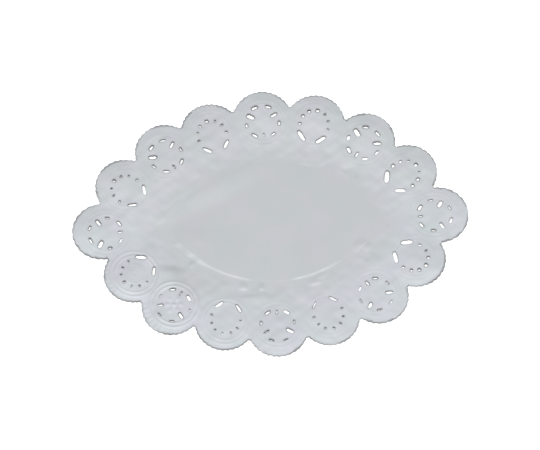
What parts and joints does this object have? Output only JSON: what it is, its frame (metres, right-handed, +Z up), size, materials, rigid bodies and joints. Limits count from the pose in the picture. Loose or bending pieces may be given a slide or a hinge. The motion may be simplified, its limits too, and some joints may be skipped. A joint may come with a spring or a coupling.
{
  "type": "paper doily",
  "caption": "Pointed oval silver foil paper doily with a scalloped, pierced and embossed border round a plain lens-shaped panel.",
  "frame": {"origin": "middle of the outline, on the surface that the doily lies on", "axes": "+X along the doily's length to the right tip, +Y along its width, +Z up, out of the silver face"},
  "size_m": [0.3049, 0.221, 0.0036],
  "materials": {
    "silver_foil": "satin silver foil face"
  },
  "bodies": {
    "root": {"doily": "silver_foil"}
  },
  "joints": []
}
